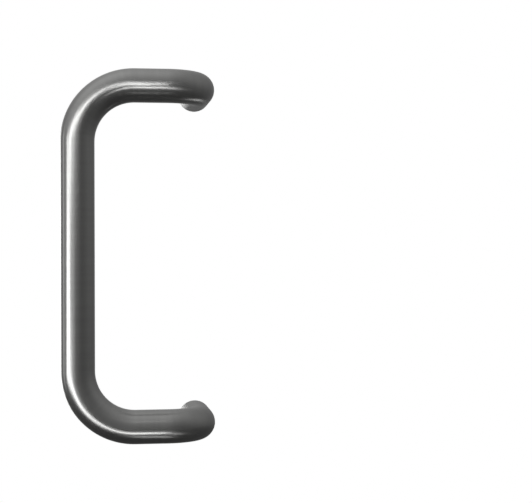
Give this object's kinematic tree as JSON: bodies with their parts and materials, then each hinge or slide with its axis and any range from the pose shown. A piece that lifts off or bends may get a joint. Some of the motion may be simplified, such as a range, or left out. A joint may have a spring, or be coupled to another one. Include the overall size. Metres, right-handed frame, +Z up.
{
  "type": "cranked d pull handle",
  "caption": "Cranked D pull handle: a round satin stainless tube whose arms bend back into feet, each closed by a tapped plug, to bolt through a door.",
  "frame": {"origin": "on the door face, midway between the two tapped fixing holes", "axes": "+Z up along the grip, +Y into the door, out of the feet, and +X to the right when the handle is faced, from the grip towards the feet"},
  "size_m": [0.138, 0.085, 0.33],
  "materials": {
    "satin_tube": "satin ground stainless tube with a fine grain running round the tube",
    "turned_plug": "turned stainless steel with fine rings on its face"
  },
  "bodies": {
    "root": {"handle_tube": "satin_tube", "upper_end_plug": "turned_plug", "lower_end_plug": "turned_plug"}
  },
  "joints": []
}
